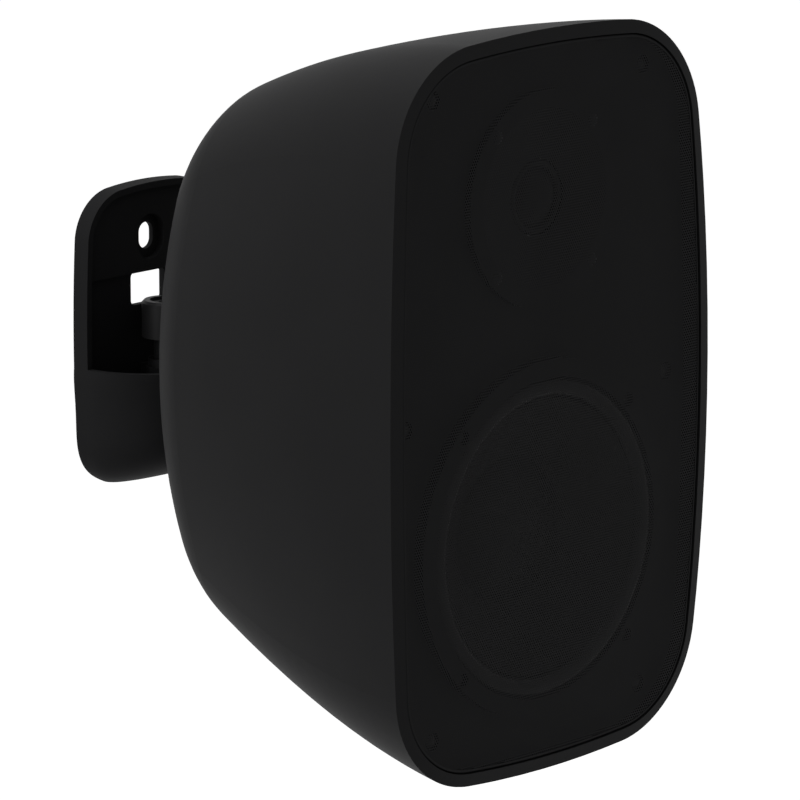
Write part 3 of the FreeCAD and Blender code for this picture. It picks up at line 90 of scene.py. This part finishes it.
# Where the grille's solid is read: so far ahead of its foot for the outline, and so far inside the
# outline for the dome, by rays that start so far ahead of the solid
FOOT_PROBE = 1.0
DOME_PROBE = 2.6
PROBE_LEAD = 1.0

# Wall plate's upper floor: it stands forward above the cable hole, open round the slot's countersink
PLATE_FLOOR_DEPTH = 3.5
UPPER_FLOOR_RISE = 2.2
UPPER_FLOOR_BOTTOM = 28.3
UPPER_FLOOR_GAP = 0.05
UPPER_FLOOR_STEPS = 360
SLOT_Z = 44.4
SINK_WIDTH = 17.4
SINK_LENGTH = 20.9

# Finish of each material slot: colour is linear, grain is the size of the fine texture and relief its
# height, patch is the size of the broad colour change and mottle its share of the colour, and turns is
# the pitch of wound wire
FINISHES = {
    "cabinet_plastic": {"colour": (0.0085, 0.0085, 0.0088), "roughness": 0.55, "specular": 0.028,
                        "grain": 0.45, "relief": 0.010, "patch": 60.0, "mottle": 0.06},
    "bracket_plastic": {"colour": (0.0100, 0.0100, 0.0104), "roughness": 0.58, "specular": 0.011,
                        "grain": 0.45, "relief": 0.010, "patch": 40.0, "mottle": 0.06},
    "grille_metal": {"colour": (0.0078, 0.0078, 0.0081), "roughness": 0.60, "specular": 0.04,
                     "grain": 0.25, "relief": 0.006, "patch": 30.0, "mottle": 0.08},
    "baffle_plastic": {"colour": (0.0066, 0.0066, 0.0069), "roughness": 0.55, "specular": 0.06,
                       "grain": 0.50, "relief": 0.010, "patch": 30.0, "mottle": 0.08},
    "arm_metal": {"colour": (0.0120, 0.0120, 0.0124), "roughness": 0.48, "specular": 0.09,
                  "grain": 0.60, "relief": 0.020, "patch": 12.0, "mottle": 0.10},
    "steel": {"colour": (0.62, 0.62, 0.64), "roughness": 0.32, "metallic": 1.0,
              "grain": 0.40, "relief": 0.004, "patch": 6.0, "mottle": 0.12},
    "black_steel": {"colour": (0.0100, 0.0100, 0.0105), "roughness": 0.42, "specular": 0.12,
                    "grain": 0.30, "relief": 0.006, "patch": 5.0, "mottle": 0.15},
    "rubber": {"colour": (0.0130, 0.0130, 0.0130), "roughness": 0.30, "specular": 0.14,
               "grain": 0.35, "relief": 0.008, "patch": 15.0, "mottle": 0.10},
    "foam": {"colour": (0.0300, 0.0300, 0.0310), "roughness": 0.95, "specular": 0.10,
             "grain": 0.70, "relief": 0.150, "patch": 10.0, "mottle": 0.25},
    "cone_paper": {"colour": (0.0095, 0.0095, 0.0095), "roughness": 0.65, "specular": 0.15,
                   "grain": 0.80, "relief": 0.050, "patch": 8.0, "mottle": 0.25},
    "brass": {"colour": (0.78, 0.56, 0.24), "roughness": 0.30, "metallic": 1.0,
              "grain": 0.30, "relief": 0.004, "patch": 5.0, "mottle": 0.12},
    "ferrite": {"colour": (0.0450, 0.0450, 0.0480), "roughness": 0.70, "specular": 0.25,
                "grain": 0.50, "relief": 0.030, "patch": 9.0, "mottle": 0.20},
    "dome_silk": {"colour": (0.0045, 0.0045, 0.0047), "roughness": 0.55, "specular": 0.08,
                  "grain": 0.30, "relief": 0.020, "patch": 4.0, "mottle": 0.15},
    "wadding": {"colour": (0.72, 0.72, 0.70), "roughness": 1.00, "specular": 0.05, "sheen": 0.4,
                "grain": 1.60, "relief": 0.900, "patch": 18.0, "mottle": 0.18},
    "board": {"colour": (0.020, 0.130, 0.060), "roughness": 0.35, "specular": 0.45,
              "grain": 0.80, "relief": 0.010, "patch": 7.0, "mottle": 0.25},
    "copper": {"colour": (0.62, 0.26, 0.12), "roughness": 0.28, "metallic": 1.0,
               "grain": 0.30, "relief": 0.004, "patch": 6.0, "mottle": 0.15, "turns": 0.6},
    "component_plastic": {"colour": (0.36, 0.09, 0.04), "roughness": 0.25, "specular": 0.50,
                          "grain": 0.70, "relief": 0.010, "patch": 6.0, "mottle": 0.12},
    "ceramic": {"colour": (0.74, 0.72, 0.67), "roughness": 0.85, "specular": 0.25,
                "grain": 0.40, "relief": 0.040, "patch": 5.0, "mottle": 0.10},
    "knob_plastic": {"colour": (0.0240, 0.0240, 0.0250), "roughness": 0.42, "specular": 0.25,
                     "grain": 0.40, "relief": 0.008, "patch": 8.0, "mottle": 0.08},
    "terminal_plastic": {"colour": (0.0180, 0.0180, 0.0190), "roughness": 0.50, "specular": 0.20,
                         "grain": 0.45, "relief": 0.010, "patch": 15.0, "mottle": 0.08},
}
ROUGHNESS_SPREAD = 0.06
NOISE_DETAIL = 4.0
SHADE_RANGE = (0.3, 0.7)

# A wave texture turns through so many radians over each unit of its scaled coordinate
WAVE_RADIANS = 20


def add_node(tree, kind, **values):
    """New shader node; values name its inputs, with _ for a space."""
    made = tree.nodes.new(kind)
    for name, value in values.items():
        made.inputs[name.replace("_", " ")].default_value = value
    return made


def noise(tree, place, size):
    """Noise texture whose lumps are about so many millimetres across."""
    made = add_node(tree, "ShaderNodeTexNoise", Scale=1 / (size * MM), Detail=NOISE_DETAIL)
    tree.links.new(place, made.inputs["Vector"])
    return made.outputs["Fac"]


def shades(tree, factor, colour, mottle):
    """Colour that goes from darker to lighter with a factor."""
    ramp = tree.nodes.new("ShaderNodeValToRGB")
    shares = (1 - mottle, 1 + mottle)
    for end, position, share in zip(ramp.color_ramp.elements, SHADE_RANGE, shares):
        end.position = position
        end.color = tuple(channel * share for channel in colour) + (1.0,)
    tree.links.new(factor, ramp.inputs["Fac"])
    return ramp.outputs["Color"]


def wire_turns(tree, place, pitch):
    """Ridges of wound wire, stacked along the depth."""
    wave = add_node(tree, "ShaderNodeTexWave", Scale=2 * math.pi / (WAVE_RADIANS * pitch * MM))
    wave.bands_direction = "Y"
    tree.links.new(place, wave.inputs["Vector"])
    return wave.outputs["Fac"]


def finish(slot, colour, roughness, grain, relief, patch, mottle,
           specular=0.5, metallic=0.0, sheen=0.0, turns=None):
    """Material of one slot, with its grain, its uneven gloss and its broad change of shade."""
    material = bpy.data.materials.new(slot)
    material.use_nodes = True
    tree = material.node_tree
    shader = tree.nodes["Principled BSDF"]
    shader.inputs["Metallic"].default_value = metallic
    shader.inputs["Specular IOR Level"].default_value = specular
    shader.inputs["Sheen Weight"].default_value = sheen
    place = tree.nodes.new("ShaderNodeTexCoord").outputs["Object"]
    broad = noise(tree, place, patch)
    fine = noise(tree, place, grain)
    tree.links.new(shades(tree, broad, colour, mottle), shader.inputs["Base Color"])
    gloss = add_node(tree, "ShaderNodeMapRange", To_Min=max(roughness - ROUGHNESS_SPREAD, 0.0),
                     To_Max=min(roughness + ROUGHNESS_SPREAD, 1.0))
    tree.links.new(fine, gloss.inputs["Value"])
    tree.links.new(gloss.outputs["Result"], shader.inputs["Roughness"])
    bump = add_node(tree, "ShaderNodeBump", Distance=relief * MM)
    tree.links.new(fine, bump.inputs["Height"])
    if turns:
        ridges = add_node(tree, "ShaderNodeBump", Distance=turns * MM / 2)
        tree.links.new(wire_turns(tree, place, turns), ridges.inputs["Height"])
        tree.links.new(bump.outputs["Normal"], ridges.inputs["Normal"])
        bump = ridges
    tree.links.new(bump.outputs["Normal"], shader.inputs["Normal"])
    return material


MATERIALS = {slot: finish(slot, **values) for slot, values in FINISHES.items()}


def dress(obj, slot):
    """Give an object the one material of a slot."""
    obj.data.materials.clear()
    obj.data.materials.append(MATERIALS[slot])


def mesh_object(name, vertices, faces, smooth):
    """New mesh object from lists of vertices and faces."""
    mesh = bpy.data.meshes.new(name)
    mesh.from_pydata(vertices, [], faces)
    mesh.validate()
    mesh.polygons.foreach_set("use_smooth", np.full(len(mesh.polygons), smooth))
    made = bpy.data.objects.new(name, mesh)
    bpy.context.scene.collection.objects.link(made)
    return made


def ring_object(name, rings, smooth, closed=False):
    """New mesh object of rings of points, each joined to the next, and the last to the first if closed."""
    grid = np.arange(len(rings) * len(rings[0])).reshape(len(rings), -1)
    if closed:
        grid = np.vstack((grid, grid[:1]))
    ahead = np.roll(grid, -1, axis=1)
    faces = np.stack((grid[:-1], ahead[:-1], ahead[1:], grid[1:]), axis=2).reshape(-1, 4)
    return mesh_object(name, np.vstack(rings).tolist(), faces.tolist(), smooth)


def solid_tree(node):
    """Search tree of a node's solid, for ray casts."""
    solid = frame["nodes"][node].data
    corners = [vertex.co for vertex in solid.vertices]
    faces = [face.vertices for face in solid.polygons]
    return BVHTree.FromPolygons(corners, faces)


def full_turn(steps):
    """Evenly spaced directions of one full turn, in radians."""
    return np.linspace(0, 2 * math.pi, steps, endpoint=False)


def direction(angle):
    """Direction in the plane of the wall: along x at zero, up at a quarter turn."""
    return Vector((math.cos(angle), 0, math.sin(angle)))


class GrilleForm:
    """Outline and dome of the grille's solid, read from the frame; x and z are taken from its middle."""

    def __init__(self):
        self.low, self.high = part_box("grille")
        self.middle = (self.low + self.high) / 2
        self.tree = solid_tree("grille")
        self.outline = np.array([self.edge_point(angle) for angle in full_turn(OUTLINE_STEPS)])
        side, top = self.inset(DOME_PROBE * MM)[[0, OUTLINE_STEPS // 4]]
        self.curvature = (self.face_depth(*top) - self.face_depth(*side)) / float(top @ top - side @ side)
        self.apex = self.face_depth(*side) - self.curvature * float(side @ side)

    def face_depth(self, x, z):
        """Depth of the solid's front face at a point of its border."""
        start = Vector((self.middle.x + x, self.low.y - PROBE_LEAD * MM, self.middle.z + z))
        return self.tree.ray_cast(start, Vector((0, 1, 0)))[0].y

    def edge_point(self, angle):
        """Point of the outline in one direction, met from outside just ahead of the folded edge's foot."""
        outward = direction(angle)
        start = self.middle + outward * (self.high - self.low).length
        start.y = self.high.y - FOOT_PROBE * MM
        hit = self.tree.ray_cast(start, -outward)[0] - self.middle
        return hit.x, hit.z

    def inset(self, distance):
        """Outline moved inward by a distance."""
        along = np.roll(self.outline, -1, axis=0) - np.roll(self.outline, 1, axis=0)
        along /= np.linalg.norm(along, axis=1)[:, None]
        inward = np.column_stack((-along[:, 1], along[:, 0]))
        return self.outline + inward * distance

    def on_dome(self, points, drop):
        """Points of the plane set on the dome, so far behind its face."""
        depth = self.apex + self.curvature * (points ** 2).sum(axis=1) + drop
        return np.column_stack((self.middle.x + points[:, 0], depth, self.middle.z + points[:, 1]))


def cell_centres(form):
    """Centres of the hole pattern inside the border: staggered rows on a hexagonal pitch."""
    pitch = HOLE_PITCH * MM
    row_pitch = pitch * math.sqrt(3) / 2
    size = form.high - form.low
    columns = int(size.x / pitch) // 2 + 1
    rows = int(size.z / row_pitch) // 2 + 1
    column, row = np.meshgrid(np.arange(-columns, columns + 1), np.arange(-rows, rows + 1))
    stagger = (row % 2) / 2
    centres = np.column_stack(((column + stagger).ravel() * pitch, row.ravel() * row_pitch))
    limit = form.inset((BORDER - BORDER_OVERLAP) * MM + pitch / 2)
    limit_angle = np.arctan2(limit[:, 1], limit[:, 0])
    limit_reach = np.linalg.norm(limit, axis=1)
    angle = np.arctan2(centres[:, 1], centres[:, 0])
    reach = np.interp(angle, limit_angle, limit_reach, period=2 * math.pi)
    return centres[np.linalg.norm(centres, axis=1) < reach]


def perforated_sheet(name, form, centres):
    """Sheet of hexagonal cells, each with a hexagonal hole."""
    turn = np.radians((np.arange(HEX_CORNERS) + 0.5) * 360 / HEX_CORNERS)
    corner = np.column_stack((np.cos(turn), np.sin(turn))) / math.sqrt(3)
    web = (centres[:, None] + corner * HOLE_PITCH * MM).reshape(-1, 2)
    hole = (centres[:, None] + corner * HOLE_WIDTH * MM).reshape(-1, 2)
    keys = np.round(web / (HOLE_PITCH * MM / CORNER_GRID)).astype(int)
    _, first, shared = np.unique(keys, axis=0, return_index=True, return_inverse=True)
    web_index = shared.reshape(-1, HEX_CORNERS)
    hole_index = len(first) + np.arange(len(hole)).reshape(-1, HEX_CORNERS)
    next_web = np.roll(web_index, -1, axis=1)
    next_hole = np.roll(hole_index, -1, axis=1)
    faces = np.stack((web_index, next_web, next_hole, hole_index), axis=2).reshape(-1, 4)
    points = form.on_dome(np.vstack((web[first], hole)), SHEET_BEHIND * MM)
    return mesh_object(name, points.tolist(), faces.tolist(), True)


def folded_edge(name, form):
    """Plain border of the sheet, rounded over at the outline and folded back to the baffle."""
    turn = np.linspace(0, math.pi / 2, EDGE_STEPS)
    radius = EDGE_RADIUS * MM
    profile = [(radius * (1 - math.cos(angle)), radius * (1 - math.sin(angle))) for angle in turn]
    profile.append((BORDER * MM, 0.0))
    rings = [form.on_dome(form.inset(inward), drop) for inward, drop in profile]
    foot = rings[0].copy()
    foot[:, 1] = form.high.y
    rings.insert(0, foot)
    return ring_object(name, rings, True)


def build_grille():
    """The perforated sheet, in parts from bottom to top, and its folded edge."""
    form = GrilleForm()
    centres = cell_centres(form)
    centres = centres[np.lexsort((centres[:, 0], centres[:, 1]))]
    pieces = [perforated_sheet(f"grille_sheet_{i + 1}", form, part)
              for i, part in enumerate(np.array_split(centres, SHEET_PARTS))]
    pieces.append(folded_edge("grille_edge", form))
    for piece in pieces:
        dress(piece, "grille_metal")
        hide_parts("grille")
        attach(piece, "speaker")


def sink_reach(angle):
    """Distance from the slot's middle to its round-ended countersink in one direction."""
    radius = SINK_WIDTH * MM / 2
    straight = SINK_LENGTH * MM / 2 - radius
    across, up = abs(math.cos(angle)), abs(math.sin(angle))
    if radius * up <= straight * across:
        return radius / across
    return straight * up + math.sqrt(radius ** 2 - (straight * across) ** 2)


def floor_reach(tree, middle, angle):
    """Distance from the slot's middle to the plate's wall, or to the upper floor's lower edge."""
    outward = direction(angle)
    reach = tree.ray_cast(middle, outward)[3] - UPPER_FLOOR_GAP * MM
    if outward.z < 0:
        reach = min(reach, (UPPER_FLOOR_BOTTOM * MM - middle.z) / outward.z)
    return reach


def build_upper_floor():
    """Upper floor of the wall plate: a level ring between the plate's wall and the countersink."""
    tree = solid_tree("wall_plate")
    back = -PLATE_FLOOR_DEPTH * MM
    front = -(PLATE_FLOOR_DEPTH + UPPER_FLOOR_RISE) * MM
    middle = Vector((0, (back + front) / 2, SLOT_Z * MM))
    angles = full_turn(UPPER_FLOOR_STEPS)
    outer = [floor_reach(tree, middle, angle) for angle in angles]
    inner = [sink_reach(angle) for angle in angles]
    rings = []
    for reach, depth in ((outer, back), (outer, front), (inner, front), (inner, back)):
        across = reach * np.cos(angles)
        up = middle.z + reach * np.sin(angles)
        rings.append(np.column_stack((across, np.full(UPPER_FLOOR_STEPS, depth), up)))
    floor = ring_object("plate_upper_floor", rings, False, closed=True)
    dress(floor, "bracket_plastic")
    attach(floor, "wall_bracket")


def seen_directly(tree):
    """1 for camera, glossy and transmission rays, 0 for the rays that light the object."""
    path = tree.nodes.new("ShaderNodeLightPath")
    total = path.outputs["Is Camera Ray"]
    for name in ("Is Glossy Ray", "Is Transmission Ray"):
        larger = tree.nodes.new("ShaderNodeMath")
        larger.operation = "MAXIMUM"
        tree.links.new(total, larger.inputs[0])
        tree.links.new(path.outputs[name], larger.inputs[1])
        total = larger.outputs[0]
    return total


def build_world():
    """White surroundings to look at, and an even fill to light the object."""
    world = bpy.data.worlds.new("studio")
    bpy.context.scene.world = world
    world.use_nodes = True
    tree = world.node_tree
    background = tree.nodes["Background"]
    background.inputs["Color"].default_value = WHITE
    level = add_node(tree, "ShaderNodeMapRange", To_Min=WORLD_FILL, To_Max=1.0)
    tree.links.new(seen_directly(tree), level.inputs["Value"])
    tree.links.new(level.outputs["Result"], background.inputs["Strength"])


def build_floor():
    """Pale floor that looks white and still takes a shadow."""
    half = FLOOR_SIZE / 2
    plan = ((-half, -half), (half, -half), (half, half), (-half, half))
    corners = [(x, y, FLOOR_LEVEL) for x, y in plan]
    floor = mesh_object("floor", corners, [(0, 1, 2, 3)], False)
    material = bpy.data.materials.new("floor")
    material.use_nodes = True
    tree = material.node_tree
    tree.nodes.remove(tree.nodes["Principled BSDF"])
    matt = add_node(tree, "ShaderNodeBsdfDiffuse", Color=(FLOOR_COLOUR, FLOOR_COLOUR, FLOOR_COLOUR, 1.0))
    glow = tree.nodes.new("ShaderNodeEmission")
    level = add_node(tree, "ShaderNodeMapRange", To_Max=FLOOR_GLOW)
    both = tree.nodes.new("ShaderNodeAddShader")
    tree.links.new(seen_directly(tree), level.inputs["Value"])
    tree.links.new(level.outputs["Result"], glow.inputs["Strength"])
    tree.links.new(matt.outputs["BSDF"], both.inputs[0])
    tree.links.new(glow.outputs["Emission"], both.inputs[1])
    tree.links.new(both.outputs["Shader"], tree.nodes["Material Output"].inputs["Surface"])
    floor.data.materials.append(material)


def build_lamps():
    """Soft square lamps aimed at the cabinet."""
    for name, facts in LAMPS.items():
        light = bpy.data.lights.new(name, "AREA")
        light.size = facts["size"]
        light.energy = facts["watts"]
        lamp = bpy.data.objects.new(name, light)
        lamp.location = facts["place"]
        lamp.rotation_euler = (LAMP_AIM - lamp.location).to_track_quat("-Z", "Y").to_euler()
        bpy.context.scene.collection.objects.link(lamp)


def build_camera():
    """Long-lens camera at the photograph's viewing angle."""
    data = bpy.data.cameras.new("camera")
    data.lens = CAMERA_LENS
    data.sensor_width = CAMERA_SENSOR
    camera = bpy.data.objects.new("camera", data)
    camera.location = CAMERA_PLACE
    camera.rotation_euler = CAMERA_AIM.to_track_quat("-Z", "Y").to_euler()
    bpy.context.scene.collection.objects.link(camera)
    bpy.context.scene.camera = camera


bpy.context.scene.view_settings.view_transform = "Standard"
build_camera()
build_world()
build_floor()
build_lamps()
for part in frame["record"]["subparts"]:
    dress(frame["nodes"][part["node"]], part["material_slot"])
build_grille()
build_upper_floor()
